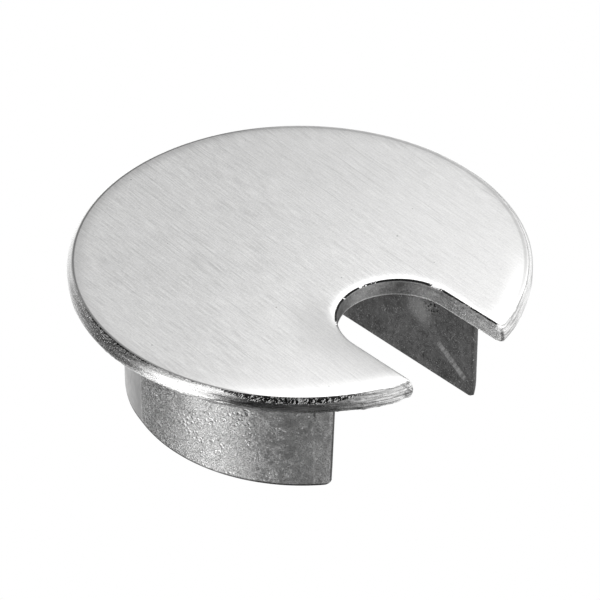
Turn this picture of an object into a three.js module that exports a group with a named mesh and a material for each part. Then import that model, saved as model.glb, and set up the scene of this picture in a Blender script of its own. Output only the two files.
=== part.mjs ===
// Desk cable grommet: a round cover with a cable notch, and below it a collar that drops into
// a round hole in the desktop. The collar is two D-shaped feet, each a curved wall that follows
// the hole and a flat wall that runs beside the cable channel. Every piece is die-cast zinc.
//
// Millimetres, +Z up. The origin is the middle of the cover's underside, on the axis of the
// desk hole. The notch opens towards -Y, so left is -X and right is +X.
import * as THREE from 'three';

// Cover
const COVER_RADIUS = 39;
const COVER_THICKNESS = 3;
const TOP_FLAT_RADIUS = 38; // the ground flat ends here and the bulging rim begins
const RIM_WIDEST_HEIGHT = 1.35; // above the underside
const NOTCH_HALF_WIDTH = 10;
const NOTCH_END_CENTRE = 23.3; // from the axis to the middle of the notch's round end
const NOTCH_TOP_EASING = 0.5; // radius of the notch's upper edge
const NOTCH_BOTTOM_EASING = 0.35; // radius of the notch's lower edge
const MOUTH_CORNER_RADIUS = 0.8; // in plan, where the notch meets the rim

// Collar, with its walls thicker and closer together at the cover, as a casting's draft leaves them
const COLLAR_RADIUS = 29.8; // slides into a hole 60 mm across
const COLLAR_DEPTH = 22;
const CHANNEL_HALF_WIDTH_AT_COVER = 15.9;
const CHANNEL_HALF_WIDTH_AT_FOOT = 16.45;
const WALL_AT_COVER = 2.3;
const WALL_AT_FOOT = 1.8;
const FOOT_CORNER_RADIUS = 1.3; // lower outer corners of each curved wall

// The underside's flat areas meet on these lines, clear of the collar's walls
const SEAT_INNER_RADIUS = 30.4;
const FLOOR_HALF_WIDTH = 15.4;

// Facets
const PROFILE_STEPS = 8;
const RIM_STEPS = 56; // on each half
const NOTCH_END_STEPS = 14; // on each half
const CORNER_STEPS = 4;
const SEAT_STEPS = [3, 24, 16]; // beside the notch, over a foot, across the back
const CURVED_WALL_STEPS = 30;
const WALL_JOINT_STEPS = 6;

const brushedTop = new THREE.MeshStandardMaterial({
  name: 'brushed_zinc',
  color: 0xd8d7d4,
  metalness: 0.95,
  roughness: 0.34,
});
const castWall = new THREE.MeshStandardMaterial({
  name: 'cast_zinc',
  color: 0x9d9d9a,
  metalness: 0.9,
  roughness: 0.5,
});

// A closed body put together from vertices, strips and flat fills, all facing outwards.
class Body {
  positions = [];

  triangles = [];

  vertex(x, y, z) {
    this.positions.push(x, y, z);
    return this.positions.length / 3 - 1;
  }

  loop(points, z) {
    return points.map((point) => this.vertex(point.x, point.y, z));
  }

  quad(a, b, c, d) {
    this.triangles.push(a, b, c, a, c, d);
  }

  // Joins two loops that run counter-clockwise seen from above, the lower one first.
  strip(lower, upper) {
    lower.forEach((corner, i) => {
      const next = (i + 1) % lower.length;
      this.quad(corner, lower[next], upper[next], upper[i]);
    });
  }

  // Fills a flat loop that runs counter-clockwise seen from above.
  fill(loop, facingUp) {
    const outline = loop.map(
      (corner) => new THREE.Vector2(this.positions[corner * 3], this.positions[corner * 3 + 1]),
    );
    for (const [a, b, c] of THREE.ShapeUtils.triangulateShape(outline, [])) {
      this.triangles.push(loop[a], facingUp ? loop[b] : loop[c], facingUp ? loop[c] : loop[b]);
    }
  }

  geometry() {
    const geometry = new THREE.BufferGeometry();
    geometry.setAttribute('position', new THREE.Float32BufferAttribute(this.positions, 3));
    geometry.setIndex(this.triangles);
    geometry.computeVertexNormals();
    return geometry;
  }
}

function arc(x, y, radius, from, to, steps) {
  return new THREE.EllipseCurve(x, y, radius, radius, from, to, to < from).getPoints(steps);
}

// How far an edge rounded to a radius stands back, at a distance from that edge.
function easing(distance, radius) {
  return distance < radius ? radius - Math.sqrt(radius ** 2 - (radius - distance) ** 2) : 0;
}

// The rim bulges on one arc, through the edge of the flat top and its own widest point.
function rimRadius(z) {
  const inset = COVER_RADIUS - TOP_FLAT_RADIUS;
  const rise = COVER_THICKNESS - RIM_WIDEST_HEIGHT;
  const bulge = (inset ** 2 + rise ** 2) / (2 * inset);
  return COVER_RADIUS - bulge + Math.sqrt(bulge ** 2 - (z - RIM_WIDEST_HEIGHT) ** 2);
}

function notchHalfWidth(z) {
  const fromTop = easing(COVER_THICKNESS - z, NOTCH_TOP_EASING);
  const fromBottom = easing(z, NOTCH_BOTTOM_EASING);
  return NOTCH_HALF_WIDTH + fromTop + fromBottom;
}

// Where the seat's inner edge meets the side of the notch.
function seatCorner() {
  const x = notchHalfWidth(0);
  return new THREE.Vector2(x, -Math.sqrt(SEAT_INNER_RADIUS ** 2 - x ** 2));
}

// The cover's outline at a height, counter-clockwise from the innermost point of the notch.
function coverOutline(z) {
  const rim = rimRadius(z);
  const side = notchHalfWidth(z);
  const cornerX = side + MOUTH_CORNER_RADIUS;
  const cornerY = -Math.sqrt((rim - MOUTH_CORNER_RADIUS) ** 2 - cornerX ** 2);
  const rimStart = Math.atan2(cornerY, cornerX);
  const cornerEnd = rimStart + 2 * Math.PI;
  const right = [
    ...arc(0, -NOTCH_END_CENTRE, side, Math.PI / 2, 0, NOTCH_END_STEPS),
    new THREE.Vector2(side, seatCorner().y),
    ...arc(cornerX, cornerY, MOUTH_CORNER_RADIUS, Math.PI, cornerEnd, CORNER_STEPS),
    ...arc(0, 0, rim, rimStart, Math.PI / 2, RIM_STEPS).slice(1),
  ];
  const left = right.slice(1, -1).reverse().map((point) => new THREE.Vector2(-point.x, point.y));
  return [...right, ...left];
}

// The underside is one plane in four areas: the seat that rests on the desktop, outside the
// collar, then the floor of the cable channel and the floors of the two feet.
function fillUnderside(body, outline) {
  const corner = seatCorner();
  const rightCorner = NOTCH_END_STEPS + 1;
  const leftCorner = outline.length - rightCorner;
  const notchAngle = Math.atan2(corner.y, corner.x);
  const footAngle = -Math.acos(FLOOR_HALF_WIDTH / SEAT_INNER_RADIUS);
  const [besideNotch, overFoot, acrossBack] = SEAT_STEPS;
  const angles = [notchAngle, footAngle, -footAngle];
  const turns = [...angles, ...angles.map((angle) => Math.PI - angle).reverse()];
  const steps = [besideNotch, overFoot, acrossBack, overFoot, besideNotch];

  const seatEdge = [outline[rightCorner]];
  const ends = [0];
  steps.forEach((count, i) => {
    const points = arc(0, 0, SEAT_INNER_RADIUS, turns[i], turns[i + 1], count).slice(1);
    seatEdge.push(...body.loop(points, 0));
    ends.push(seatEdge.length - 1);
  });
  seatEdge[seatEdge.length - 1] = outline[leftCorner];

  const stretch = (first, last) => seatEdge.slice(ends[first], ends[last] + 1);
  const seat = [...outline.slice(rightCorner, leftCorner), ...seatEdge.slice(1).reverse()];
  const channelFloor = [
    ...outline.slice(0, rightCorner),
    ...stretch(0, 1),
    ...stretch(2, 3),
    ...stretch(4, 5),
    ...outline.slice(leftCorner + 1),
  ];
  [seat, channelFloor, stretch(1, 2), stretch(3, 4)].forEach((area) => body.fill(area, false));
}

function coverDisc() {
  const body = new Body();
  const loops = [];
  for (let i = 0; i <= PROFILE_STEPS; i++) {
    const z = (COVER_THICKNESS / 2) * (1 - Math.cos((Math.PI * i) / PROFILE_STEPS));
    loops.push(body.loop(coverOutline(z), z));
  }
  loops.slice(1).forEach((loop, i) => body.strip(loops[i], loop));
  body.fill(loops.at(-1), true);
  fillUnderside(body, loops[0]);
  return body.geometry();
}

// A wall as a row of four-cornered sections, each listed the same way round.
function wallThrough(sections) {
  const body = new Body();
  const rows = sections.map((section) => section.map((p) => body.vertex(p.x, p.y, p.z)));
  rows.slice(1).forEach((row, i) => body.strip(rows[i], row));
  const [first, last] = [rows[0], rows.at(-1)];
  body.quad(first[3], first[2], first[1], first[0]);
  body.quad(last[0], last[1], last[2], last[3]);
  return body.geometry();
}

// The right foot's faces at the cover (depth 0) and at the foot (depth 1).
function footFaces(depth) {
  const thickness = THREE.MathUtils.lerp(WALL_AT_COVER, WALL_AT_FOOT, depth);
  const channelX = THREE.MathUtils.lerp(
    CHANNEL_HALF_WIDTH_AT_COVER,
    CHANNEL_HALF_WIDTH_AT_FOOT,
    depth,
  );
  const innerRadius = COLLAR_RADIUS - thickness;
  return { z: -COLLAR_DEPTH * depth, channelX, pocketX: channelX + thickness, innerRadius };
}

// Evenly spaced values from one end up to the other, which is left out.
function spaced(from, to, steps) {
  return Array.from({ length: steps }, (_, i) => THREE.MathUtils.lerp(from, to, i / steps));
}

// One edge of the curved wall, from its front end to its back end. It has a vertex on each
// face of the flat wall, so that the two walls meet without a gap.
function curvedEdge(radius, depth, cornerRadius) {
  const { z, channelX, pocketX, innerRadius } = footFaces(depth);
  const end = Math.acos(channelX / radius);
  const joint = Math.acos(pocketX / innerRadius);
  const angles = [
    ...spaced(-end, -joint, WALL_JOINT_STEPS),
    ...spaced(-joint, joint, CURVED_WALL_STEPS),
    ...spaced(joint, end, WALL_JOINT_STEPS),
    end,
  ];
  return angles.map((angle) => {
    const lift = easing(radius * (end - Math.abs(angle)), cornerRadius);
    return new THREE.Vector3(radius * Math.cos(angle), radius * Math.sin(angle), z + lift);
  });
}

function collarWall() {
  const [root, foot] = [footFaces(0), footFaces(1)];
  const innerTop = curvedEdge(root.innerRadius, 0, 0);
  const innerLow = curvedEdge(foot.innerRadius, 1, 0);
  const outerLow = curvedEdge(COLLAR_RADIUS, 1, FOOT_CORNER_RADIUS);
  const outerTop = curvedEdge(COLLAR_RADIUS, 0, 0);
  return wallThrough(innerTop.map((p, i) => [p, outerTop[i], outerLow[i], innerLow[i]]));
}

function channelWall() {
  const [root, foot] = [footFaces(0), footFaces(1)];
  const corner = (face, x, side) =>
    new THREE.Vector3(x, side * Math.sqrt(face.innerRadius ** 2 - x ** 2), face.z);
  const section = (side) => [
    corner(root, root.channelX, side),
    corner(root, root.pocketX, side),
    corner(foot, foot.pocketX, side),
    corner(foot, foot.channelX, side),
  ];
  return wallThrough([section(-1), section(1)]);
}

function piece(name, geometry, material) {
  const mesh = new THREE.Mesh(geometry, material);
  mesh.name = name;
  return mesh;
}

// The two feet are the same shape, half a turn apart.
function foot(side, turn) {
  const group = new THREE.Group();
  group.rotation.z = turn;
  group.add(piece(`${side}_collar_wall`, collarWall(), castWall));
  group.add(piece(`${side}_channel_wall`, channelWall(), castWall));
  return group;
}

const grommet = new THREE.Group();
grommet.add(piece('cover_disc', coverDisc(), brushedTop));
grommet.add(foot('right', 0));
grommet.add(foot('left', Math.PI));

export default grommet;
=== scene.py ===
import math

import bpy
import numpy as np
from mathutils import Matrix, Vector, geometry, noise


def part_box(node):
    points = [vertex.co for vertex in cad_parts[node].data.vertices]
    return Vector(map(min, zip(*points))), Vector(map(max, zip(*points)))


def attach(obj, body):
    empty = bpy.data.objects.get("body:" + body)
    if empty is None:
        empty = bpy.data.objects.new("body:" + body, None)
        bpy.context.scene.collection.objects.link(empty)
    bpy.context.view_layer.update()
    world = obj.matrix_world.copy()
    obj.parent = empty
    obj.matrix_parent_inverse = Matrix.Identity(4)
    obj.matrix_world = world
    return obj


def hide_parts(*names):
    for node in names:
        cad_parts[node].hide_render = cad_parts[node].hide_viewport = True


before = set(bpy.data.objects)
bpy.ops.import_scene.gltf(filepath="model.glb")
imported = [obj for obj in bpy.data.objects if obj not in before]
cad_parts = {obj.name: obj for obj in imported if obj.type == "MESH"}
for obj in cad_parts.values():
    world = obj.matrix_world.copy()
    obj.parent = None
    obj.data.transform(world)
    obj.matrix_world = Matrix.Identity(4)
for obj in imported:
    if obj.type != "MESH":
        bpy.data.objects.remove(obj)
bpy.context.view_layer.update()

MM = 0.001

# ---------------------------------------------------------------- sizes, in millimetres
# The overall sizes come from the frame. Only what the eye sees of the edges is set here.
COVER_LOW, COVER_HIGH = (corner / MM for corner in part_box("cover_disc"))
WALL_LOW, WALL_HIGH = (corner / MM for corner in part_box("right_collar_wall"))

COVER_RADIUS = COVER_HIGH.x
COVER_THICKNESS = COVER_HIGH.z - COVER_LOW.z
TOP_FLAT_RADIUS = COVER_RADIUS - 1.0
RIM_WIDEST_HEIGHT = 1.35
NOTCH_HALF_WIDTH = 10.0
NOTCH_END_CENTRE = 23.3
NOTCH_TOP_EASING = 0.40
FAR_SIDE_TOP_EASING = 0.68
NOTCH_BOTTOM_EASING = 0.12
MOUTH_CORNER_RADIUS = 0.8
TOP_ROLL_WIDTH = 2.2
TOP_ROLL_DROP = 0.09

COLLAR_RADIUS = WALL_HIGH.x
COLLAR_DEPTH = -WALL_LOW.z
CHANNEL_HALF_AT_COVER = WALL_LOW.x
CHANNEL_HALF_AT_FOOT = CHANNEL_HALF_AT_COVER + 0.55
CHANNEL_SLOPE = (CHANNEL_HALF_AT_FOOT - CHANNEL_HALF_AT_COVER) / COLLAR_DEPTH
WALL_AT_COVER = 2.3
WALL_AT_FOOT = 1.8
FOOT_CORNER_RADIUS = 1.3
CAST_EDGE_RADIUS = 0.1
ROOT_FILLET = 0.5
PARTING_ANGLE = math.radians(-16.5)
LEFT_FOOT_OFFSET = (0.14, -0.16, -0.2)
RIGHT_FOOT_OFFSET = (0.14, -0.16, 0.0)


# ---------------------------------------------------------------- mesh helpers

def easing(distance, radius):
    """How far an edge rounded to a radius stands back, at a distance from that edge."""
    if radius <= 0 or distance >= radius:
        return 0.0
    return radius - math.sqrt(radius**2 - (radius - max(distance, 0.0)) ** 2)


def ramp(value, low, high):
    """0 below low, 1 above high, and a smooth step between them."""
    share = min(1.0, max(0.0, (value - low) / (high - low)))
    return share * share * (3 - 2 * share)


def arc(x, y, radius, start, end, steps):
    angles = np.linspace(start, end, steps + 1)
    return np.stack([x + radius * np.cos(angles), y + radius * np.sin(angles)], axis=1)


def turbulence(point, size, seed, octaves):
    """Smooth noise from about -1 to 1, with features of a size in millimetres."""
    moved = Vector(point) / size + Vector((seed, 2.7 * seed, 5.1 * seed))
    return noise.fractal(moved, 0.9, 2.0, octaves)


def link(name, data):
    made = bpy.data.objects.new(name, data)
    bpy.context.scene.collection.objects.link(made)
    return made


def piece_from(name, points, faces, materials, face_slots):
    """A mesh object from points in millimetres, with one material slot for each face."""
    mesh = bpy.data.meshes.new(name)
    mesh.from_pydata((np.asarray(points) * MM).tolist(), [], faces)
    for material in materials:
        mesh.materials.append(material)
    mesh.polygons.foreach_set("material_index", face_slots)
    mesh.polygons.foreach_set("use_smooth", [True] * len(mesh.polygons))
    mesh.validate()
    mesh.update()
    mesh.set_sharp_from_angle(angle=math.radians(30))
    return link(name, mesh)


def strip(first, second, count):
    """Quads between two closed rows of vertices that start at these indices."""
    quads = []
    for i in range(count):
        j = (i + 1) % count
        quads.append((first + i, first + j, second + j, second + i))
    return quads


# ---------------------------------------------------------------- shader helpers

def add(tree, kind, inputs=None, **settings):
    """Adds a node, sets its settings, and sets or links its inputs."""
    made = tree.nodes.new(kind)
    for key, value in settings.items():
        setattr(made, key, value)
    for key, value in (inputs or {}).items():
        if isinstance(value, bpy.types.NodeSocket):
            tree.links.new(value, made.inputs[key])
        else:
            made.inputs[key].default_value = value
    return made


def maths(tree, operation, first, second=0.0, third=0.0):
    inputs = {0: first, 1: second, 2: third}
    return add(tree, "ShaderNodeMath", inputs, operation=operation).outputs[0]


def times(tree, *values):
    product = values[0]
    for value in values[1:]:
        product = maths(tree, "MULTIPLY", product, value)
    return product


def plus(tree, first, second):
    return maths(tree, "ADD", first, second)


def minus(tree, first, second):
    return maths(tree, "SUBTRACT", first, second)


def largest(tree, *values):
    most = values[0]
    for value in values[1:]:
        most = maths(tree, "MAXIMUM", most, value)
    return most


def weigh(tree, *terms):
    """The sum of some values, each times its weight."""
    total = times(tree, *terms[-1])
    for value, weight in reversed(terms[:-1]):
        total = maths(tree, "MULTIPLY_ADD", value, weight, total)
    return total


def linear(tree, value, factor, offset):
    return maths(tree, "MULTIPLY_ADD", value, factor, offset)


def off(tree, value, centre):
    """How far a value is from a centre, on either side."""
    return maths(tree, "ABSOLUTE", minus(tree, value, centre))


def remap(tree, value, low, high, to_low=0.0, to_high=1.0, smooth=True):
    """Goes from one level to another as a value goes from low to high, and stops at both ends."""
    inputs = {"Value": value, "From Min": low, "From Max": high, "To Min": to_low, "To Max": to_high}
    style = "SMOOTHSTEP" if smooth else "LINEAR"
    return add(tree, "ShaderNodeMapRange", inputs, interpolation_type=style).outputs["Result"]


def between(tree, value, start, full, fade, end):
    """1 from full to fade, and 0 before start and after end."""
    return times(tree, remap(tree, value, start, full), remap(tree, value, end, fade))


def combine(tree, x, y, z):
    return add(tree, "ShaderNodeCombineXYZ", {"X": x, "Y": y, "Z": z}).outputs[0]


def stretch(tree, vector, factors):
    return add(tree, "ShaderNodeVectorMath", {0: vector, 1: factors}, operation="MULTIPLY").outputs[0]


def rotate(tree, vector, axis, angle):
    inputs = {"Vector": vector, "Angle": angle}
    return add(tree, "ShaderNodeVectorRotate", inputs, rotation_type=f"{axis}_AXIS").outputs[0]


def away_from(tree, across, along, centre=(0.0, 0.0)):
    """The distance of a place on a plane from a centre."""
    if any(centre):
        across, along = minus(tree, across, centre[0]), minus(tree, along, centre[1])
    place = combine(tree, across, along, 0.0)
    return add(tree, "ShaderNodeVectorMath", {0: place}, operation="LENGTH").outputs["Value"]


def grain(tree, vector, scale, detail, roughness=0.6, distortion=0.0):
    inputs = {"Vector": vector, "Scale": scale, "Detail": detail}
    inputs |= {"Roughness": roughness, "Distortion": distortion}
    return add(tree, "ShaderNodeTexNoise", inputs).outputs["Fac"]


def dots(tree, across, along, scale, share, radius):
    """Round spots on a surface, in some of its cells: 1 in a spot's middle, falling to 0 at its edge."""
    place = combine(tree, across, along, 0.0)
    spots = add(tree, "ShaderNodeTexVoronoi", {"Vector": place, "Scale": scale}, voronoi_dimensions="2D")
    chance = add(tree, "ShaderNodeSeparateColor", {"Color": spots.outputs["Color"]}).outputs
    chosen = maths(tree, "LESS_THAN", chance["Red"], share)
    size = linear(tree, chance["Green"], radius, 0.5 * radius)
    edge = maths(tree, "DIVIDE", spots.outputs["Distance"], size)
    return times(tree, remap(tree, edge, 1.0, 0.3), chosen)


def flecks(tree, vector, scale, share):
    """Small irregular flecks, bright ones and dark ones. A larger share gives more of them."""
    speckle = grain(tree, vector, scale, 2.0, 0.5)
    reach = 0.20 * (1 - share)
    bright = remap(tree, speckle, 0.5 + reach, 0.56 + reach)
    dark = remap(tree, speckle, 0.5 - reach, 0.44 - reach)
    return bright, dark


def mix(tree, factor, first, second):
    made = add(tree, "ShaderNodeMix", data_type="RGBA")
    for socket, value in zip((made.inputs[0], made.inputs[6], made.inputs[7]), (factor, first, second)):
        if isinstance(value, bpy.types.NodeSocket):
            tree.links.new(value, socket)
        else:
            socket.default_value = value
    return made.outputs[2]


def grey(value, warmth=0.002):
    return (value * (1 + warmth), value, value * (1 - 2 * warmth), 1.0)


def greys(tree, factor, first, second):
    """A grey that follows a factor from one value to another."""
    return mix(tree, factor, grey(first), grey(second))


def paint(tree, colour, value, *amounts):
    """Lays a grey over a colour, as far as the product of the amounts."""
    return mix(tree, times(tree, *amounts), colour, grey(value))


def new_metal(name, anisotropy=0.0, across=None, edge_tint=None):
    """A metal material, its node tree, and the object's place in millimetres, whole and by axis."""
    material = bpy.data.materials.new(name)
    material.use_nodes = True
    tree = material.node_tree
    shader = tree.nodes["Principled BSDF"]
    shader.inputs["Metallic"].default_value = 1.0
    shader.inputs["Anisotropic"].default_value = anisotropy
    if across is not None:
        tree.links.new(combine(tree, *across), shader.inputs["Tangent"])
    if edge_tint is not None:
        shader.inputs["Specular Tint"].default_value = grey(edge_tint)
    place = add(tree, "ShaderNodeTexCoord").outputs["Object"]
    scaled = add(tree, "ShaderNodeVectorMath", {0: place, "Scale": 1 / MM}, operation="SCALE")
    axes = add(tree, "ShaderNodeSeparateXYZ", {0: scaled.outputs[0]}).outputs
    return material, tree, scaled.outputs[0], axes


def finish_metal(material, colour, roughness, height, relief):
    tree = material.node_tree
    shader = tree.nodes["Principled BSDF"]
    tree.links.new(colour, shader.inputs["Base Color"])
    tree.links.new(roughness, shader.inputs["Roughness"])
    bump = add(tree, "ShaderNodeBump", {"Height": height, "Distance": relief * MM})
    tree.links.new(bump.outputs[0], shader.inputs["Normal"])
    return material


# ---------------------------------------------------------------- materials
# Places are in millimetres, as in the frame. A grey is a linear reflectance from 0 to 1.

STREAK_ANGLE = math.radians(86)
# widths of the painted highlights along the notch and the front edge
NOTCH_HIGHLIGHT_WIDTH = 1.9
FRONT_HIGHLIGHT_WIDTH = 4.6
TOP_LINE_INSET = 0.5


def brushed_top():
    """The cover's top, brushed along the notch, with painted highlights along the notch and the front
    edge.
    """
    across = (math.sin(STREAK_ANGLE), -math.cos(STREAK_ANGLE), 0.0)
    material, tree, place, (x, y, _) = new_metal("brushed_top", 0.35, across)
    turned = rotate(tree, place, "Z", math.pi / 2 - STREAK_ANGLE)

    def brushing(across_it, along_it, detail, roughness):
        """Noise drawn out along the brushing, from how many features a millimetre has each way."""
        return grain(tree, stretch(tree, turned, (across_it, along_it, 1.0)), 1.0, detail, roughness)

    fine = brushing(4.6, 0.24, 1.0, 0.5)
    medium = brushing(2.2, 0.11, 3.0, 0.8)
    broad = brushing(0.10, 0.05, 2.0, 0.6)
    scratches = remap(tree, brushing(2.6, 0.045, 1.0, 0.5), 0.36, 0.30)
    dust = grain(tree, place, 5.2, 1.0, 0.5)
    lines = weigh(tree, (medium, 0.35), (fine, 0.65))
    tone = weigh(tree, (dust, 0.32), (broad, 0.10), (lines, 0.58))

    behind_centre = largest(tree, plus(tree, y, NOTCH_END_CENTRE), 0.0)
    from_notch = minus(tree, away_from(tree, x, behind_centre), NOTCH_HALF_WIDTH)
    from_rim = minus(tree, TOP_FLAT_RADIUS, away_from(tree, x, y))
    to_back_left = minus(tree, y, x)

    colour = greys(tree, remap(tree, tone, 0.36, 0.64, smooth=False), 0.53, 0.785)
    # painted light: the top brighter towards the right
    colour = paint(tree, colour, 0.67, remap(tree, x, 2.0, 24.0), 0.3)
    colour = paint(tree, colour, 0.20, scratches, 0.16)

    # painted shade along the back edge, painted light inside the front edge, painted shade beside the
    # notch
    back = remap(tree, to_back_left, 4.0, 34.0)
    colour = paint(tree, colour, 0.45, remap(tree, from_rim, 3.0, 0.0), back, 0.4)
    front_left = times(tree, remap(tree, x, 0.0, -14.0), remap(tree, y, -8.0, -22.0))
    colour = paint(tree, colour, 0.95, remap(tree, from_rim, 15.0, 1.0), front_left, 0.20)
    near_notch = times(tree, remap(tree, x, -3.0, -10.0), remap(tree, y, -1.0, -14.0))
    colour = paint(tree, colour, 0.30, remap(tree, from_notch, 11.0, 0.5), near_notch, 0.36)

    # dust by the far side of the notch's mouth, and a few dark specks
    _, dusty = flecks(tree, place, 3.6, 0.45)
    far_mouth = times(tree, remap(tree, x, 6.0, 14.0), remap(tree, y, -6.0, -18.0))
    colour = paint(tree, colour, 0.30, dusty, far_mouth, 0.22)
    colour = paint(tree, colour, 0.12, dots(tree, x, y, 0.14, 0.25, 0.022), 0.6)

    # painted highlights along the notch and the front edge, with edges that waver along the brushing
    wobble = linear(tree, medium, 1.6, -0.8)
    notch_highlight = remap(tree, plus(tree, from_notch, wobble), NOTCH_HIGHLIGHT_WIDTH, 0.3)
    notch_highlight = times(tree, notch_highlight, remap(tree, x, -10.5, -6.0))
    front_highlight = remap(tree, plus(tree, from_rim, wobble), FRONT_HIGHLIGHT_WIDTH, -0.1)
    front_highlight = times(tree, front_highlight, remap(tree, y, -14.0, -30.0), remap(tree, x, 31.0, 17.0))
    colour = paint(tree, colour, 0.99, largest(tree, notch_highlight, front_highlight), 0.9)

    # thin dark lines of painted reflection on the rounded edges: inside the right edge, along the
    # notch's near edge, and on the left edge
    right_line = remap(tree, off(tree, from_rim, TOP_LINE_INSET), 0.4, 0.1)
    colour = paint(tree, colour, 0.35, right_line, remap(tree, x, 11.0, 17.0), 0.45)
    near_line = remap(tree, from_notch, 0.66, 0.42)
    colour = paint(tree, colour, 0.20, near_line, remap(tree, x, -9.0, -9.9), 0.25)
    left = times(tree, remap(tree, to_back_left, 4.0, 20.0), remap(tree, y, -26.0, -18.0))
    colour = paint(tree, colour, 0.16, remap(tree, from_rim, 0.42, 0.18), left, 0.85)

    roughness = remap(tree, lines, 0.3, 0.7, 0.32, 0.44, smooth=False)
    return finish_metal(material, colour, roughness, lines, 0.010)


def ground_rim():
    """The cover's edge: coarse grinding marks, and a speckled band of painted dark reflection, with
    painted glints, under the top edge.
    """
    material, tree, _, (x, y, z) = new_metal("ground_rim", 0.3, (0.0, 0.0, 1.0))
    # compass is the angle round the cover in radians: 0 at the left, half pi at the notch in
    # front, pi at the right, and below 0 towards the back
    compass = maths(tree, "ARCTAN2", times(tree, y, -1.0), times(tree, x, -1.0))
    around = times(tree, maths(tree, "ARCTAN2", x, y), COVER_RADIUS)

    def marks(along_it, up_it, seed, detail, roughness, distortion=0.0):
        """Noise on the rim, from how many features a millimetre has along it and up it."""
        place = combine(tree, times(tree, around, along_it), times(tree, z, up_it), seed)
        return grain(tree, place, 1.0, detail, roughness, distortion)

    lines = marks(0.22, 3.4, 0.0, 4.0, 0.62, 0.5)
    long_lines = marks(0.07, 1.8, 3.0, 3.0, 0.6, 0.3)
    ticks = marks(2.6, 3.0, 7.0, 3.0, 0.75)
    tone = weigh(tree, (lines, 0.6), (long_lines, 0.4))
    colour = greys(tree, remap(tree, tone, 0.36, 0.64), 0.42, 0.97)

    # flecks all round, strongest at the left, where the edge is also darker with painted shade; the
    # bright flecks are painted glints, with bump
    bright, dark = flecks(tree, combine(tree, around, times(tree, z, 1.3), 0.0), 3.6, 0.55)
    speckled = between(tree, compass, -0.62, -0.25, 0.06, 0.34)
    bright = times(tree, bright, linear(tree, speckled, 0.8, 0.1))
    colour = paint(tree, colour, 0.08, between(tree, compass, -0.42, -0.15, 0.02, 0.20), 0.5)
    colour = paint(tree, colour, 0.03, dark, linear(tree, speckled, 0.6, 0.2))
    colour = paint(tree, colour, 0.99, bright)

    # a painted highlight at the left of the front, where the rim is also a little glossier, whose lower
    # boundary is broken up by ticks
    glossy_and_highlit = between(tree, compass, 0.06, 0.20, 0.44, 0.58)
    colour = paint(tree, colour, 0.99, glossy_and_highlit, 0.6)
    torn = remap(tree, weigh(tree, (ticks, 4.5), (z, -1.0)), 1.2, 1.5)
    colour = paint(tree, colour, 0.10, torn, glossy_and_highlit, 0.8)

    # wavy furrows towards the mouth of the notch
    wave = maths(tree, "SINE", weigh(tree, (z, 15.0), (lines, 5.0), (around, 0.35)))
    furrow = remap(tree, linear(tree, ticks, 1.2, wave), 0.3, -0.4)
    colour = paint(tree, colour, 0.13, furrow, between(tree, compass, 0.95, 1.15, 2.2, 2.5), 0.47)

    # darker streaks low down at the front, from a slanted, torn boundary
    below = remap(tree, weigh(tree, (compass, 8.5), (lines, 6.0), (z, -1.0)), 5.4, 5.9)
    shade = times(tree, below, remap(tree, compass, 1.15, 0.95))
    streaky = remap(tree, lines, 0.42, 0.58, 1.0, 0.84)
    strength = times(tree, streaky, remap(tree, compass, 0.62, 0.84, 0.99, 0.70))
    shaded = greys(tree, remap(tree, compass, 0.50, 0.70), 0.035, 0.12)
    colour = mix(tree, times(tree, shade, strength), colour, shaded)

    # dark ticks on the near corner of the mouth
    corner = times(tree, between(tree, x, -12.6, -11.0, -6.0, -5.0), remap(tree, y, -30.0, -31.0))
    colour = paint(tree, colour, 0.06, corner, remap(tree, ticks, 0.54, 0.46), 0.7)

    # painted light round the back, almost white, with a thin grey line of painted dark reflection under
    # the top edge
    lit_back = largest(tree, remap(tree, compass, -0.42, -0.66), remap(tree, compass, 1.95, 2.2))
    colour = paint(tree, colour, 0.97, lit_back, 0.75)
    colour = paint(tree, colour, 0.30, lit_back, remap(tree, z, 2.74, 2.88), 0.7)

    # a painted dark outline along the rim at the right, climbing towards the back
    climb = remap(tree, compass, 2.2, math.pi, RIM_WIDEST_HEIGHT, RIM_WIDEST_HEIGHT + 1.3, smooth=False)
    right_line = remap(tree, off(tree, z, climb), 0.9, 0.6)
    colour = paint(tree, colour, 0.30, right_line, between(tree, compass, 2.12, 2.3, 3.0, 3.12), 0.75)

    # a band of painted dark reflection under the top edge, with painted glints: deep at the front, a
    # thin line at the left and by the notch
    deep = between(tree, compass, 0.42, 0.68, 0.90, 1.12)
    height_in_band = weigh(tree, (z, 1.0), (ticks, 1.1), (deep, 0.58), (glossy_and_highlit, -0.22))
    band = remap(tree, height_in_band, 3.21, 3.33)
    band = times(tree, band, between(tree, compass, -0.62, -0.2, 0.98, 1.20))
    leaning = linear(tree, z, 0.6, around)
    sparkle, _ = flecks(tree, combine(tree, leaning, times(tree, z, 0.8), 5.0), 4.9, 0.86)
    sparse_at_top = remap(tree, z, 2.62, 2.85, 1.0, 0.3)
    dark_reflection = greys(tree, times(tree, sparkle, sparse_at_top), 0.02, 0.99)
    colour = mix(tree, band, colour, dark_reflection)

    roughness = linear(tree, glossy_and_highlit, -0.06, remap(tree, tone, 0.3, 0.7, 0.20, 0.34))
    glints = times(tree, sparkle, band)
    height = weigh(tree, (bright, 1.0), (glints, 0.7), (lines, 1.0), (ticks, 0.35))
    return finish_metal(material, colour, roughness, height, 0.1)


def cast_tones(tree, place):
    cloud = grain(tree, place, 0.13, 3.0, 0.55, 0.4)
    mottle = grain(tree, place, 0.8, 5.0, 0.65, 0.4)
    fine = grain(tree, place, 3.6, 3.0, 0.75)
    return cloud, mottle, fine


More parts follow.
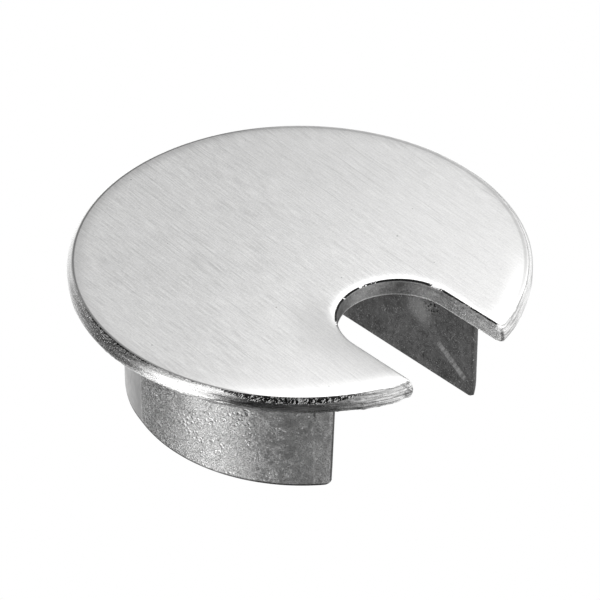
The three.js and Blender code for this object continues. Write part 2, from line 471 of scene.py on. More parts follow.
# Places on a foot's curved wall: degrees from the foot's middle, rising to the left foot's
# notch end, and the height. A crater patch also has its radius.
CRATER_PATCHES = ((7.5, -13.5, 2.6), (19.4, -16.4, 1.8), (28.0, -9.0, 3.0), (-4.0, -8.5, 2.2))
SCORE_LINE_ANGLE = 51.2
CRATER_KIND = {"scale": 1.15, "share": 0.65, "radius": 0.42}
OUTLINE_WIDTH = 0.24


def collar_skin():
    """The outside of a foot: wrinkled where the zinc flowed together, smooth past the parting line."""
    material, tree, place, (x, y, z) = new_metal("collar_skin")
    cloud, mottle, fine = cast_tones(tree, place)
    foot = maths(tree, "SIGN", x)
    on_left = remap(tree, foot, 0.5, -0.5)
    on_right = remap(tree, foot, -0.5, 0.5)
    angle = maths(tree, "ARCTAN2", times(tree, y, foot), maths(tree, "ABSOLUTE", x))
    around = times(tree, angle, COLLAR_RADIUS)
    cast = remap(tree, angle, PARTING_ANGLE - 0.012, PARTING_ANGLE + 0.006)
    calm = remap(tree, angle, 0.36, 0.62, 1.0, 0.34)

    # craters: small rings, lit on one side, crowded in a few patches
    crowded = remap(tree, grain(tree, place, 0.25, 3.0, 0.6, 0.6), 0.50, 0.62, 0.0, 0.5)
    crowded = times(tree, crowded, calm)
    for degrees, height, spread in CRATER_PATCHES:
        centre = (math.radians(degrees) * COLLAR_RADIUS, height)
        patch = remap(tree, away_from(tree, around, z, centre), spread, 0.4 * spread)
        crowded = largest(tree, crowded, patch)
    rings = times(tree, dots(tree, around, z, **CRATER_KIND), crowded)
    shifted = dots(tree, plus(tree, around, 0.16), plus(tree, z, 0.18), **CRATER_KIND)
    shifted = times(tree, shifted, crowded)
    craters = remap(tree, minus(tree, rings, shifted), 0.06, 0.28)
    hollows = remap(tree, minus(tree, shifted, rings), 0.06, 0.28)

    # wrinkles: broken curved lines
    wrinkles = grain(tree, stretch(tree, place, (1.0, 1.0, 0.7)), 0.55, 3.0, 0.55, 1.4)
    broken = remap(tree, grain(tree, place, 0.9, 2.0, 0.5), 0.50, 0.58)
    ridges = times(tree, remap(tree, off(tree, wrinkles, 0.5), 0.022, 0.0), broken, calm)

    # flecks in patches, with a finer sand low down; the bright flecks are painted glints, with bump
    bright, dark = flecks(tree, stretch(tree, place, (1.0, 1.0, 1.3)), 4.0, 0.82)
    sand, _ = flecks(tree, place, 5.0, 0.62)
    low_down = remap(tree, z, -9.0, -19.0)
    patchy = remap(tree, mottle, 0.35, 0.6, 0.6, 1.1)
    patchy = times(tree, patchy, remap(tree, angle, 0.36, 0.62, 1.0, 0.62))
    grains = largest(tree, times(tree, bright, 0.6), times(tree, sand, low_down, 0.8))
    bright = largest(tree, times(tree, grains, patchy), craters, times(tree, ridges, 0.8))
    dark = largest(tree, times(tree, dark, 0.6, patchy), times(tree, hollows, 0.9))

    tone = weigh(tree, (cloud, 0.4), (mottle, 0.4), (fine, 0.2))
    rough_skin = greys(tree, remap(tree, tone, 0.34, 0.66), 0.38, 0.54)
    # painted light towards the end the angle rises to, fading again at the end itself; then painted
    # shade past the middle towards the other end
    towards_end = remap(tree, angle, 0.46, 0.72, 0.0, 0.75)
    lighter = minus(tree, towards_end, remap(tree, angle, 0.84, 1.0, 0.0, 0.55))
    rough_skin = paint(tree, rough_skin, 0.95, lighter)
    rough_skin = paint(tree, rough_skin, 0.10, remap(tree, angle, 0.24, -0.24), 0.36)
    rough_skin = paint(tree, rough_skin, 0.05, dark)
    rough_skin = paint(tree, rough_skin, 0.99, bright)
    smooth_skin = greys(tree, remap(tree, mottle, 0.3, 0.7), 0.28, 0.35)
    # painted light on the smooth part, growing towards the parting line
    smooth_skin = paint(tree, smooth_skin, 0.60, remap(tree, angle, -0.60, -0.34))
    colour = mix(tree, cast, smooth_skin, rough_skin)

    # an upright score line on the left foot, light low down and dark under the cover
    score_at = math.radians(SCORE_LINE_ANGLE) * COLLAR_RADIUS
    score = times(tree, remap(tree, off(tree, around, score_at), 0.24, 0.10), on_left)
    broken_score = times(tree, score, remap(tree, fine, 0.35, 0.5))
    colour = paint(tree, colour, 0.99, broken_score, remap(tree, z, -12.0, -13.5), 0.85)
    colour = paint(tree, colour, 0.08, score, remap(tree, z, -9.0, -7.5), 0.7)

    # painted shade: the right foot darkens round its front corner, where it meets the flat wall
    corner = times(tree, remap(tree, angle, -0.50, -0.79), on_right)
    colour = mix(tree, corner, colour, greys(tree, tone, 0.10, 0.30))

    # painted dark outlines, for the dark reflection of the rounded edges, along the foot and up its
    # notch end
    above_foot = plus(tree, z, linear(tree, on_left, -LEFT_FOOT_OFFSET[2], COLLAR_DEPTH))
    end_x = linear(tree, z, -CHANNEL_SLOPE, CHANNEL_HALF_AT_COVER)
    from_end = minus(tree, maths(tree, "ABSOLUTE", x), end_x)
    at_end = remap(tree, from_end, OUTLINE_WIDTH, 0.5 * OUTLINE_WIDTH)
    at_end = times(tree, at_end, remap(tree, angle, 0.5, 0.6), 0.8)
    outline = largest(tree, remap(tree, above_foot, 2 * OUTLINE_WIDTH, OUTLINE_WIDTH), at_end)
    colour = paint(tree, colour, 0.05, outline, 0.92)

    roughness = remap(tree, mottle, 0.3, 0.7, 0.28, 0.40)
    height = weigh(tree, (mottle, 0.09), (bright, 0.10), (craters, 0.35), (ridges, 0.15), (fine, 0.12))
    height = times(tree, height, remap(tree, cast, 0.0, 1.0, 0.08, 1.0), calm)
    return finish_metal(material, colour, roughness, height, 0.40)


# Places on the flat walls, as y and z on the right foot. The left foot has them turned half round.
RUB_MARK_START = (-16.9, -14.9)
RUB_MARK_END = (-22.9, -18.9)
WORN_PATCH = (-12.0, -10.0)
PITTED_PATCH = (-15.1, -7.6)
PIT_KIND = {"scale": 1.5, "share": 0.9, "radius": 0.42}


def channel_skin():
    """The flat faces along the channel: duller, with scratches and one rubbed streak."""
    material, tree, place, (x, y, z) = new_metal("channel_skin", edge_tint=0.35)
    cloud, mottle, fine = cast_tones(tree, place)
    turned_y = times(tree, y, maths(tree, "SIGN", x))
    tone = weigh(tree, (cloud, 0.4), (mottle, 0.35), (fine, 0.25))
    colour = greys(tree, remap(tree, tone, 0.32, 0.68), 0.09, 0.205)
    from_worn = linear(tree, mottle, 3.0, away_from(tree, turned_y, z, WORN_PATCH))
    colour = paint(tree, colour, 0.36, remap(tree, from_worn, 5.4, 2.6), 0.75)

    def scratches(angle, seed):
        """Short light scratches at an angle in the wall's own plane."""
        spun = rotate(tree, place, "X", angle)
        moved = add(tree, "ShaderNodeVectorMath", {0: spun, 1: (seed, seed, seed)}, operation="ADD")
        streaks = grain(tree, stretch(tree, moved.outputs[0], (1.0, 0.6, 5.0)), 0.8, 2.0, 0.5)
        return remap(tree, streaks, 0.68, 0.72)

    scored = largest(tree, scratches(1.1, 4.0), scratches(-0.7, 11.0))
    colour = paint(tree, colour, 0.50, scored, 0.55)

    # the rubbed streak: a short bar across the wall, with rungs
    from_y = minus(tree, turned_y, RUB_MARK_START[0])
    from_z = minus(tree, z, RUB_MARK_START[1])
    step = Vector(RUB_MARK_END) - Vector(RUB_MARK_START)
    reach = step.length
    way = step / reach
    along = weigh(tree, (from_y, way.x), (from_z, way.y))
    aside = weigh(tree, (from_y, -way.y), (from_z, way.x))
    aside = plus(tree, maths(tree, "ABSOLUTE", aside), linear(tree, mottle, 1.2, -0.6))
    ends = between(tree, along, -0.8, 0.3, reach - 0.6, reach + 0.6)
    rungs = grain(tree, combine(tree, times(tree, along, 1.6), 0.0, 0.0), 1.0, 1.0)
    rungs = remap(tree, rungs, 0.35, 0.65, 0.35, 1.0)
    colour = paint(tree, colour, 0.42, remap(tree, aside, 0.95, 0.4), ends, rungs, 0.9)

    # pits all over, and one patch of rings
    pits = remap(tree, grain(tree, place, 1.1, 3.0, 0.6), 0.66, 0.71)
    colour = paint(tree, colour, 0.04, pits, 0.6)
    pitted = remap(tree, away_from(tree, turned_y, z, PITTED_PATCH), 2.6, 1.0)
    lit_rings = dots(tree, plus(tree, y, 0.16), plus(tree, z, 0.16), **PIT_KIND)
    colour = paint(tree, colour, 0.5, lit_rings, pitted, 0.5)
    colour = paint(tree, colour, 0.02, dots(tree, y, z, **PIT_KIND), pitted)
    bright, dark = flecks(tree, place, 4.2, 0.35)
    colour = paint(tree, colour, 0.6, bright, 0.45)
    colour = paint(tree, colour, 0.03, dark, 0.5)

    # the ends of the curved wall: painted shade, with a few painted glints
    on_collar = remap(tree, away_from(tree, x, y), COLLAR_RADIUS - 0.5, COLLAR_RADIUS - 0.3)
    glints, _ = flecks(tree, place, 2.6, 0.35)
    colour = paint(tree, colour, 0.05, on_collar, 0.35)
    colour = paint(tree, colour, 0.99, on_collar, glints, 0.4)

    roughness = remap(tree, mottle, 0.3, 0.7, 0.34, 0.46)
    height = weigh(tree, (fine, 0.06), (mottle, 0.2), (scored, 0.15))
    return finish_metal(material, colour, roughness, height, 0.25)


def notch_side():
    """The cover's thickness inside the notch, with a line of painted dark reflection and chips of
    painted highlight near its top.
    """
    material, tree, place, (x, y, z) = new_metal("notch_side")
    cloud, mottle, fine = cast_tones(tree, place)
    tone = weigh(tree, (cloud, 0.3), (mottle, 0.4), (fine, 0.3))
    # painted light: the face lighter towards the notch's mouth
    towards_mouth = remap(tree, y, -22.0, -35.0, 0.0, 0.5)
    dim_tone = greys(tree, towards_mouth, 0.20, 0.42)
    light = greys(tree, towards_mouth, 0.42, 0.95)
    colour = mix(tree, remap(tree, tone, 0.36, 0.64), dim_tone, light)
    bright, dark = flecks(tree, place, 3.8, 0.45)
    straight = remap(tree, y, -21.0, -27.0, 0.25, 0.7)
    colour = paint(tree, colour, 0.95, bright, straight)
    colour = paint(tree, colour, 0.05, dark, straight)

    # a line of painted dark reflection along the top edge, deeper round the inner end, and its chips of
    # painted highlight
    round_end = remap(tree, y, -27.0, -20.0)
    line = weigh(tree, (z, 1.0), (fine, 0.12), (mottle, 0.2), (round_end, 0.09))
    line = remap(tree, line, 2.95, 3.01)
    chips = remap(tree, grain(tree, stretch(tree, place, (1.0, 1.0, 0.0)), 0.3, 4.0, 0.8), 0.56, 0.59)
    chips = times(tree, chips, remap(tree, y, -26.0, -23.0, 0.25, 1.0))
    near = times(tree, remap(tree, x, -8.0, -9.5), 0.42)
    colour = mix(tree, line, colour, greys(tree, largest(tree, chips, near), 0.02, 0.99))

    # painted highlights on the mouth's corner, and along the lower edge
    corner = times(tree, remap(tree, y, -35.4, -36.0), remap(tree, z, 1.9, 2.5))
    colour = paint(tree, colour, 0.99, corner, remap(tree, fine, 0.35, 0.5))
    lower_edge_highlight = times(tree, remap(tree, z, 0.34, 0.2), remap(tree, fine, 0.35, 0.6, 0.3, 0.6))
    colour = paint(tree, colour, 0.85, lower_edge_highlight)

    roughness = remap(tree, mottle, 0.3, 0.7, 0.36, 0.5)
    height = weigh(tree, (fine, 0.4), (mottle, 0.6))
    return finish_metal(material, colour, roughness, height, 0.22)


def underside():
    material, tree, place, _ = new_metal("underside")
    cloud, mottle, fine = cast_tones(tree, place)
    tone = weigh(tree, (cloud, 0.3), (mottle, 0.4), (fine, 0.3))
    colour = greys(tree, remap(tree, tone, 0.36, 0.64), 0.38, 0.62)
    pits = remap(tree, grain(tree, place, 1.1, 3.0, 0.6), 0.66, 0.71)
    colour = paint(tree, colour, 0.1, pits, 0.5)
    roughness = remap(tree, mottle, 0.3, 0.7, 0.4, 0.56)
    height = weigh(tree, (fine, 0.4), (mottle, 0.6))
    return finish_metal(material, colour, roughness, height, 0.2)


# ---------------------------------------------------------------- cover

# how many points each stretch of the outline has, and the rows of points up the edge
RIM_POINTS = 520
NOTCH_END_POINTS = 64
SIDE_POINTS = 48
MOUTH_POINTS = 8
PROFILE_LEVELS = 44
TOP_INSETS = (0.1, 0.25, 0.5, 0.85, 1.25, 1.7, 2.2)
UNDER_INSETS = (0.3, 1.0)
FILL_SPACING = 1.6
FILL_MARGIN = 0.5

# how far the wear on the edge stands in or out, and the rows that its lower corner is chipped over
RIDGE_HEIGHT = 0.06
CHATTER_HEIGHT = 0.03
NEAR_CORNER_CHIPS = 0.16
NEAR_CORNER_STEP = 0.34
LEFT_BULGE = 0.28
FAR_CORNER_WEAR = 0.22
CHIPPED_ROWS = 9
CHIP_HEIGHT = 0.20
TOP_FACE, RIM_FACE, NOTCH_FACE, UNDER_FACE = range(4)


def rim_radius(z):
    inset = COVER_RADIUS - TOP_FLAT_RADIUS
    rise = COVER_THICKNESS - RIM_WIDEST_HEIGHT
    bulge = (inset**2 + rise**2) / (2 * inset)
    return COVER_RADIUS - bulge + math.sqrt(bulge**2 - (z - RIM_WIDEST_HEIGHT) ** 2)


def notch_half_width(z):
    return (
        NOTCH_HALF_WIDTH
        + easing(COVER_THICKNESS - z, NOTCH_TOP_EASING)
        + easing(z, NOTCH_BOTTOM_EASING)
    )


def cover_outline(rim, side):
    """The cover's outline, counter-clockwise from the innermost point of the notch."""
    corner_x = side + MOUTH_CORNER_RADIUS
    corner_y = -math.sqrt((rim - MOUTH_CORNER_RADIUS) ** 2 - corner_x**2)
    rim_start = math.atan2(corner_y, corner_x)
    sides = np.linspace((side, -NOTCH_END_CENTRE), (side, corner_y), SIDE_POINTS + 1)
    right = np.concatenate(
        [
            arc(0, -NOTCH_END_CENTRE, side, math.pi / 2, 0, NOTCH_END_POINTS)[:-1],
            sides[:-1],
            arc(corner_x, corner_y, MOUTH_CORNER_RADIUS, math.pi, rim_start + 2 * math.pi, MOUTH_POINTS),
            arc(0, 0, rim, rim_start, math.pi / 2, RIM_POINTS)[1:],
        ]
    )
    left = right[1:-1][::-1] * (-1, 1)
    return np.concatenate([right, left])


def rim_relief(x, y, z):
    """Wavy ridges that run round the rim, left by coarse grinding, deepest near the notch.

    The near corner of the notch's mouth is chipped as well.
    """
    angle = math.atan2(x, -y)
    along = angle * COVER_RADIUS
    coarse = 1 - ramp(abs(angle), 0.50, 0.80)
    wave = 0.35 * turbulence((along / 7, z / 2.5, 1.0), 1.0, 2.2, 2)
    ridge = math.sin(2 * math.pi * (z / 0.55 + 2.2 * wave + 0.03 * along))
    chatter = turbulence((along / 0.9, z / 0.45, 9.0), 1.0, 6.3, 2)
    groove = turbulence((along / 6, z / 0.55, 4.0), 1.0, 3.1, 3)
    relief = coarse * (RIDGE_HEIGHT * ridge + CHATTER_HEIGHT * chatter)
    relief += (0.2 + 0.4 * coarse) * RIDGE_HEIGHT * groove
    near_corner = ramp(angle, -0.36, -0.31) * (1 - ramp(angle, 0, 0.1))
    chips = turbulence((x / 0.8, y / 0.8, z / 0.5), 1.0, 5.2, 2)
    return relief + NEAR_CORNER_CHIPS * near_corner * chips - 0.02


def lower_flare(x, y, z):
    """How far the rim stands out: a step low by the notch, fuller low at the left, and worn where it
    meets the far corner of the mouth.
    """
    angle = math.degrees(math.atan2(x, -y))
    step = ramp(angle, -31, -28) * (1 - ramp(angle, -19.5, -17.5))
    left = ramp(angle, -128, -116) * (1 - ramp(angle, -98, -78))
    worn = ramp(angle, 20, 30) * (1 - ramp(angle, 42, 58)) * (1 - ramp(z, 2.0, 2.9))
    low_down = 1 - ramp(z, 0.1, 1.5)
    return (NEAR_CORNER_STEP * step + LEFT_BULGE * left) * low_down - FAR_CORNER_WEAR * worn


def far_side_easing(x, y, z, inset):
    """How much further the notch's top edge is rounded on its far straight side."""
    if y > -12 or x < 0 or x > 14:
        return 0.0
    below_top = COVER_THICKNESS - z
    extra = easing(below_top, FAR_SIDE_TOP_EASING) - easing(below_top, NOTCH_TOP_EASING)
    return extra * ramp(x, 2, 9) * (1 - ramp(x, 11, 14)) * max(0.0, 1 - inset / TOP_ROLL_WIDTH)


def make_cover():
    levels = COVER_THICKNESS / 2 * (1 - np.cos(np.linspace(0, math.pi, PROFILE_LEVELS + 1)))
    rows = []
    for inset in reversed(UNDER_INSETS):
        rows.append((rim_radius(0) - inset, notch_half_width(0) + inset, 0.0))
    rows += [(rim_radius(z), notch_half_width(z), z) for z in levels]
    top_rim, top_side = rim_radius(COVER_THICKNESS), notch_half_width(COVER_THICKNESS)
    for inset in TOP_INSETS:
        rows.append((top_rim - inset, top_side + inset, COVER_THICKNESS))

    count = len(cover_outline(rows[0][0], rows[0][1]))
    first_profile = len(UNDER_INSETS)
    last_profile = first_profile + PROFILE_LEVELS
    mouth_from = NOTCH_END_POINTS + SIDE_POINTS
    rim_from = mouth_from + MOUTH_POINTS // 2
    points = []
    for row, (rim, side, z) in enumerate(rows):
        inset = max(0.0, top_rim - rim) if row >= last_profile else 0.0
        roll = TOP_ROLL_DROP * max(0.0, 1 - inset / TOP_ROLL_WIDTH) ** 2
        drop = roll * ramp(z, 2.0, COVER_THICKNESS)
        for i, (x, y) in enumerate(cover_outline(rim, side)):
            lift = 0.0
            x += far_side_easing(x, y, z, inset)
            on_rim = mouth_from <= i <= count - mouth_from
            if first_profile <= row < last_profile and on_rim:
                ease = min(1.0, (i - mouth_from) / 3, (count - mouth_from - i) / 3)
                push = rim_relief(x, y, z) * ease * (0.3 if row == first_profile else 1.0)
                push += lower_flare(x, y, z) * ease
                distance = math.hypot(x, y)
                x, y = x * (1 + push / distance), y * (1 + push / distance)
                if row < first_profile + CHIPPED_ROWS:
                    chip = turbulence((x, y, 0), 1.2, 8.8, 3)
                    lift = CHIP_HEIGHT * chip * (1 - (row - first_profile) / CHIPPED_ROWS)
            points.append((x, y, z + lift - drop))

    faces = []
    slots = []
    for row in range(len(rows) - 1):
        faces += strip(row * count, (row + 1) * count, count)
        for i in range(count):
            if row >= last_profile:
                slots.append(TOP_FACE)
            elif row < first_profile:
                slots.append(UNDER_FACE)
            else:
                slots.append(RIM_FACE if rim_from <= i < count - rim_from else NOTCH_FACE)

    for row, up, slot in ((0, False, UNDER_FACE), (len(rows) - 1, True, TOP_FACE)):
        rim, side, z = rows[row]
        edge = np.array(points[row * count : (row + 1) * count])[:, :2]
        fill = grid_inside(rim - FILL_MARGIN, side + FILL_MARGIN)
        flat = [Vector(p) for p in np.concatenate([edge, fill])]
        _, _, triangles, origin, *_ = geometry.delaunay_2d_cdt(flat, [], [list(range(count))], 1, 1e-6)
        start = len(points)
        points += [(p.x, p.y, z) for p in flat[count:]]
        for triangle in triangles:
            sources = [origin[v][0] for v in triangle]
            corners = [row * count + s if s < count else start + s - count for s in sources]
            a, b, c = (Vector(points[k][:2]) for k in corners)
            if ((b - a).cross(c - a) > 0) != up:
                corners.reverse()
            faces.append(corners)
            slots.append(slot)

    names = ("brushed_top", "ground_rim", "notch_side", "underside")
    return piece_from("cover", points, faces, [MATERIALS[name] for name in names], slots)


def grid_inside(rim, side):
    """Points on a staggered grid inside the cover's outline."""
    ticks = np.arange(-COVER_RADIUS, COVER_RADIUS, FILL_SPACING)
    x, y = np.meshgrid(ticks, ticks)
    x = x + FILL_SPACING / 2 * (np.arange(len(ticks)) % 2)[:, None]
    behind = np.maximum(y + NOTCH_END_CENTRE, 0)
    keep = (np.hypot(x, y) < rim) & (np.hypot(x, behind) > side)
    return np.stack([x[keep], y[keep]], axis=1)


# ---------------------------------------------------------------- feet

WALL_ROWS = 96
COLLAR_STATIONS = 300
CHANNEL_STATIONS = 190
BOTTOM_POINTS = 9
# the left foot's back end flares low down
LEFT_FLARE = 0.25
# the right foot's front end, before this angle in radians, takes its flat wall's darker, duller
# material, as painted shade
SHADED_DULL_BEFORE = -0.8


def foot_faces(depth):
    """A foot's wall thickness and its channel face's x, at a depth below the cover."""
    share = depth / COLLAR_DEPTH
    thickness = WALL_AT_COVER + (WALL_AT_FOOT - WALL_AT_COVER) * share
    channel_x = CHANNEL_HALF_AT_COVER + (CHANNEL_HALF_AT_FOOT - CHANNEL_HALF_AT_COVER) * share
    return thickness, channel_x


def cast_relief(x, y, z):
    swell = turbulence((x, y, z), 7.0, 1.3, 2)
    wrinkle = abs(turbulence((x, y, z * 0.6), 2.2, 4.4, 3))
    pebble = turbulence((x, y, z), 0.7, 7.7, 2)
    return 0.03 + 0.02 * swell - 0.03 * wrinkle + 0.012 * pebble


def wall_section():
    """A wall's section as (face, depth, share across): down outside, along the foot, up inside."""
    fine = np.array([0.0, 0.25, 0.6, 1.0]) * CAST_EDGE_RADIUS
    depths = np.concatenate(
        [
            np.linspace(0, COLLAR_DEPTH - 2 * CAST_EDGE_RADIUS, WALL_ROWS),
            (COLLAR_DEPTH - fine)[::-1],
        ]
    )
    outside = [("out", depth, 0.0) for depth in depths]
    bottom = [("foot", COLLAR_DEPTH, share) for share in np.linspace(0, 1, BOTTOM_POINTS)[1:-1]]
    inside = [("in", depth, 1.0) for depth in depths[::-1]]
    return outside + bottom + inside


def wall_mesh(name, stations, place, side, end_slot, materials, shaded_dull_before=-math.inf):
    """A closed wall swept through stations.

    Its two ends, and the part before the station shaded_dull_before, take the end slot.
    """
    section = wall_section()
    count = len(section)
    points = np.array([place(station, *spot) for station in stations for spot in section])
    faces = []
    slots = []
    for row in range(len(stations) - 1):
        faces += strip(row * count, (row + 1) * count, count)
        slots += [end_slot if stations[row] < shaded_dull_before else 0] * count

    # each end is a grid between the outside and the inside of the wall
    rows = WALL_ROWS + 4
    points = points.tolist()
    for start, flip in ((0, False), ((len(stations) - 1) * count, True)):
        grid = []
        for row in range(rows):
            outer, inner = start + row, start + count - 1 - row
            a, b = np.array(points[outer]), np.array(points[inner])
            line = [outer]
            for column in range(1, BOTTOM_POINTS - 1):
                if row == rows - 1:
                    line.append(start + rows - 1 + column)
                else:
                    line.append(len(points))
                    points.append((a + (b - a) * column / (BOTTOM_POINTS - 1)).tolist())
            grid.append(line + [inner])
        for row in range(rows - 1):
            for column in range(BOTTOM_POINTS - 1):
                here, below = grid[row], grid[row + 1]
                quad = [here[column], below[column], below[column + 1], here[column + 1]]
                faces.append(quad[::-1] if flip else quad)
                slots.append(end_slot)
    points = np.array(points) * (side, side, 1) + (LEFT_FOOT_OFFSET if side < 0 else RIGHT_FOOT_OFFSET)
    return piece_from(name, points, faces, materials, slots)


def make_collar_wall(name, side):
    tips = np.array([0.0, 0.025, 0.06, 0.1, 0.2])
    end_angle = math.acos(CHANNEL_HALF_AT_COVER / COLLAR_RADIUS)
    reach = end_angle * COLLAR_RADIUS
    middle = np.linspace(-reach + 0.4, reach - 0.4, COLLAR_STATIONS)
    stations = np.concatenate([-reach + tips, middle, (reach - tips)[::-1]])

    def place(station, face, depth, across):
        from_end = reach - abs(station)
        tuck = easing(from_end, CAST_EDGE_RADIUS)
        depth -= tuck * ramp(depth, 0.9 * COLLAR_DEPTH, COLLAR_DEPTH)
        thickness, channel_x = foot_faces(depth)
        edge = easing(COLLAR_DEPTH - depth, CAST_EDGE_RADIUS)
        if face == "out":
            radius = COLLAR_RADIUS - tuck - edge
        elif face == "in":
            radius = COLLAR_RADIUS - thickness + edge - easing(depth, ROOT_FILLET)
        else:
            inset = CAST_EDGE_RADIUS + tuck
            radius = COLLAR_RADIUS - inset - (thickness - CAST_EDGE_RADIUS - inset) * across
        angle = station / reach * math.acos(channel_x / radius)
        x, y = radius * math.cos(angle), radius * math.sin(angle)
        corner = math.copysign(math.sqrt(COLLAR_RADIUS**2 - channel_x**2), station)
        lift = easing(math.hypot(x - channel_x, y - corner), FOOT_CORNER_RADIUS)
        z = -depth + lift * ramp(depth, 0.8 * COLLAR_DEPTH, COLLAR_DEPTH)
        if face == "out":
            rough = 0.25 + 0.75 * ramp(angle, PARTING_ANGLE - 0.01, PARTING_ANGLE)
            fade = min(1.0, from_end, depth / 0.5, (COLLAR_DEPTH - depth + 0.1) / 0.5)
            push = rough * max(0.0, fade) * cast_relief(side * x, side * y, z)
            if side < 0:
                push += LEFT_FLARE * ramp(depth, 9, 18) * ramp(-angle, 0.25, 0.5)
            x, y = x * (1 + push / radius), y * (1 + push / radius)
        return x, y, z

    materials = [MATERIALS["collar_skin"], MATERIALS["channel_skin"]]
    shaded_dull_before = SHADED_DULL_BEFORE * COLLAR_RADIUS if side > 0 else -math.inf
    return wall_mesh(name, stations, place, side, 1, materials, shaded_dull_before)


def make_channel_wall(name, side):
    stations = np.linspace(-1, 1, CHANNEL_STATIONS)

    def place(station, face, depth, across):
        thickness, channel_x = foot_faces(depth)
        edge = easing(COLLAR_DEPTH - depth, CAST_EDGE_RADIUS)
        if face == "out":
            x = channel_x + edge
        elif face == "in":
            x = channel_x + thickness - edge + easing(depth, ROOT_FILLET)
        else:
            x = channel_x + CAST_EDGE_RADIUS + (thickness - 2 * CAST_EDGE_RADIUS) * across
        inner = COLLAR_RADIUS - thickness + 0.02
        reach = math.sqrt(inner**2 - x**2)
        y = station * reach
        if face == "out":
            from_foot = COLLAR_DEPTH - depth + 0.1
            fade = min(1.0, depth / 0.5, (1 - abs(station)) * reach, from_foot / 0.5)
            x -= 0.5 * max(0.0, fade) * cast_relief(side * x, side * y, -depth)
        return x, y, -depth

    return wall_mesh(name, stations, place, side, 0, [MATERIALS["channel_skin"]])


# ---------------------------------------------------------------- stage

CAMERA_AZIMUTH = math.radians(-43.32)
CAMERA_ELEVATION = math.radians(37.11)
CAMERA_ROLL = math.radians(0.15)
CAMERA_DISTANCE = 0.6461
CAMERA_TARGET = Vector((-8.58, -9.03, 3.0)) * MM
CAMERA_LENS = 236.3


def direction(azimuth, elevation):
    """A unit vector at angles in degrees, the azimuth from +X towards +Y."""
    a, e = math.radians(azimuth), math.radians(elevation)
    return Vector((math.cos(e) * math.cos(a), math.cos(e) * math.sin(a), math.sin(e)))


def make_camera():
    data = bpy.data.cameras.new("camera")
    data.lens = CAMERA_LENS
    data.sensor_width = 36.0
    data.clip_start = 0.01
    camera = link("camera", data)
    level = math.cos(CAMERA_ELEVATION)
    towards = Vector(
        (
            math.sin(CAMERA_AZIMUTH) * level,
            -math.cos(CAMERA_AZIMUTH) * level,
            math.sin(CAMERA_ELEVATION),
        )
    )
    turn = towards.to_track_quat("Z", "Y").to_matrix() @ Matrix.Rotation(CAMERA_ROLL, 3, "Z")
    camera.matrix_world = Matrix.Translation(CAMERA_TARGET + towards * CAMERA_DISTANCE) @ turn.to_4x4()
    bpy.context.scene.camera = camera


FLOOR_GAP = 0.001
FLOOR_HALF_SIZE = 4.0


def make_floor():
    """A white floor: only the camera sees it, and it is clear from below."""
    height = WALL_LOW.z * MM - FLOOR_GAP
    turns = ((-1, -1), (1, -1), (1, 1), (-1, 1))
    corners = [(FLOOR_HALF_SIZE * i, FLOOR_HALF_SIZE * j, height) for i, j in turns]
    mesh = bpy.data.meshes.new("floor")
    mesh.from_pydata(corners, [], [(0, 1, 2, 3)])
    floor = link("floor", mesh)
    material = bpy.data.materials.new("pale_floor")
    material.use_nodes = True
    tree = material.node_tree
    tree.nodes.clear()
    glow = add(tree, "ShaderNodeEmission", {"Color": (1, 1, 1, 1), "Strength": 1.0})
    clear = add(tree, "ShaderNodeBsdfTransparent")
    below = add(tree, "ShaderNodeNewGeometry").outputs["Backfacing"]
    surface = add(tree, "ShaderNodeMixShader", {0: below, 1: glow.outputs[0], 2: clear.outputs[0]})
    add(tree, "ShaderNodeOutputMaterial", {"Surface": surface.outputs[0]})
    mesh.materials.append(material)
    floor.visible_glossy = False
    floor.visible_diffuse = False
    floor.visible_shadow = False


# how bright the light is on each side, by azimuth in degrees from +X towards +Y
ROUND_THE_OBJECT = {
    0: 1.0,
    46: 1.3,
    70: 1.25,
    83: 0.9,
    95: 0.6,
    107: 0.3,
    119: 0.16,
    131: 0.14,
    143: 0.25,
    153: 0.65,
    163: 1.75,
    177: 1.85,
    189: 0.28,
    199: 0.09,
    237: 0.08,
    249: 0.32,
    261: 1.0,
    273: 1.2,
    285: 1.3,
    360: 1.0,
}
FAR_SIDE = 46.7
BEHIND_LEVEL = 0.42
OVERHEAD_LEVEL = 1.3
BENEATH_LEVEL = 0.14
# soft spots from below that light the rim: azimuth, elevation and reach in degrees, and level
LOW_GLOWS = ((140, -63, 20, 3.2), (66, -60, 14, 1.5))


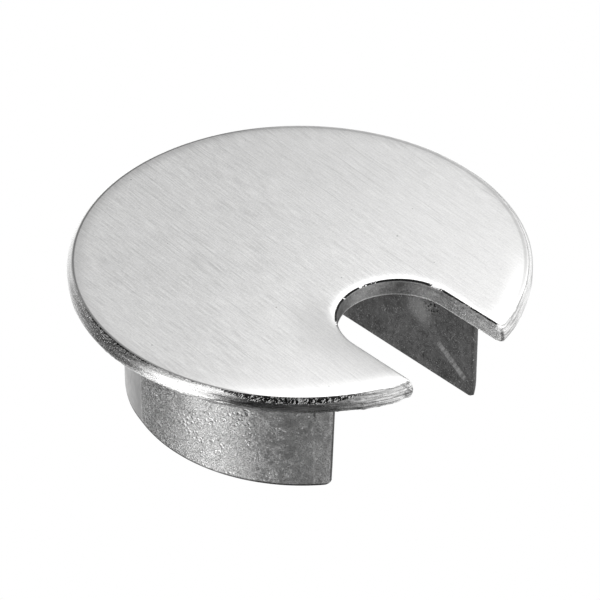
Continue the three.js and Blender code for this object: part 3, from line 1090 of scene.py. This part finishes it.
def make_studio():
    """Soft studio light: bright and dark panels all round, a bright patch high up on the far side,
    and darkness behind the viewer. The camera itself sees white.
    """
    world = bpy.data.worlds.new("studio")
    bpy.context.scene.world = world
    world.use_nodes = True
    tree = world.node_tree
    way = add(tree, "ShaderNodeTexCoord").outputs["Generated"]
    axes = add(tree, "ShaderNodeSeparateXYZ", {0: way}).outputs
    heading = maths(tree, "ARCTAN2", axes["Y"], axes["X"])
    turn = maths(tree, "FRACT", linear(tree, heading, 1 / (2 * math.pi), 1.0))
    panels = add(tree, "ShaderNodeValToRGB", {"Fac": turn})
    elements = panels.color_ramp.elements
    while len(elements) < len(ROUND_THE_OBJECT):
        elements.new(0.5)
    for element, (degrees, level) in zip(elements, ROUND_THE_OBJECT.items()):
        element.position = degrees / 360
        element.color = (level, level, level, 1)

    def patch(azimuth, elevation, reach, inside):
        """A round patch of the sky: 1 within the angle inside, and 0 past the angle reach."""
        vectors = {0: way, 1: direction(azimuth, elevation)}
        facing = add(tree, "ShaderNodeVectorMath", vectors, operation="DOT_PRODUCT").outputs["Value"]
        return remap(tree, facing, math.cos(math.radians(reach)), math.cos(math.radians(inside)))

    light = panels.outputs["Color"]
    light = mix(tree, patch(FAR_SIDE, 40, 42, 26), light, grey(BEHIND_LEVEL, 0))
    light = mix(tree, patch(FAR_SIDE, 62, 32, 20), light, grey(OVERHEAD_LEVEL, 0))
    light = mix(tree, remap(tree, axes["Z"], -0.66, -0.85), light, grey(BENEATH_LEVEL, 0))
    for azimuth, elevation, reach, level in LOW_GLOWS:
        light = mix(tree, patch(azimuth, elevation, reach, 0.6 * reach), light, grey(level, 0))
    seen = add(tree, "ShaderNodeLightPath").outputs["Is Camera Ray"]
    light = mix(tree, seen, light, grey(1.0, 0))
    tree.links.new(light, tree.nodes["Background"].inputs["Color"])


CARD_SIZE = (0.26, 0.20)
CARD_POWER = 0.17
CARD_DISTANCE = 0.25
CARD_SHIFT = (0.13, 0.10)


def make_card():
    """A soft light close behind the object, so that the brushed top brightens to the front right."""
    data = bpy.data.lights.new("card", "AREA")
    data.shape = "RECTANGLE"
    data.size, data.size_y = CARD_SIZE
    data.energy = CARD_POWER
    card = link("card", data)
    away = direction(FAR_SIDE, 37)
    right = direction(FAR_SIDE - 90, 0)
    upward = right.cross(away)
    centre = away * CARD_DISTANCE + right * CARD_SHIFT[0] + upward * CARD_SHIFT[1]
    card.matrix_world = Matrix.Translation(centre) @ away.to_track_quat("Z", "Y").to_matrix().to_4x4()


# ---------------------------------------------------------------- assembly

make_camera()
make_studio()
make_card()
make_floor()

MATERIALS = {
    "brushed_top": brushed_top(),
    "ground_rim": ground_rim(),
    "notch_side": notch_side(),
    "underside": underside(),
    "collar_skin": collar_skin(),
    "channel_skin": channel_skin(),
}

cover = make_cover()
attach(cover, "root")
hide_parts("cover_disc")

for side_name, side in (("left", -1), ("right", 1)):
    outer = make_collar_wall(f"{side_name}_foot_curved_wall", side)
    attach(outer, "root")
    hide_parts(f"{side_name}_collar_wall")
    chord = make_channel_wall(f"{side_name}_foot_flat_wall", side)
    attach(chord, "root")
    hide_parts(f"{side_name}_channel_wall")

bpy.context.scene.view_settings.view_transform = "Standard"
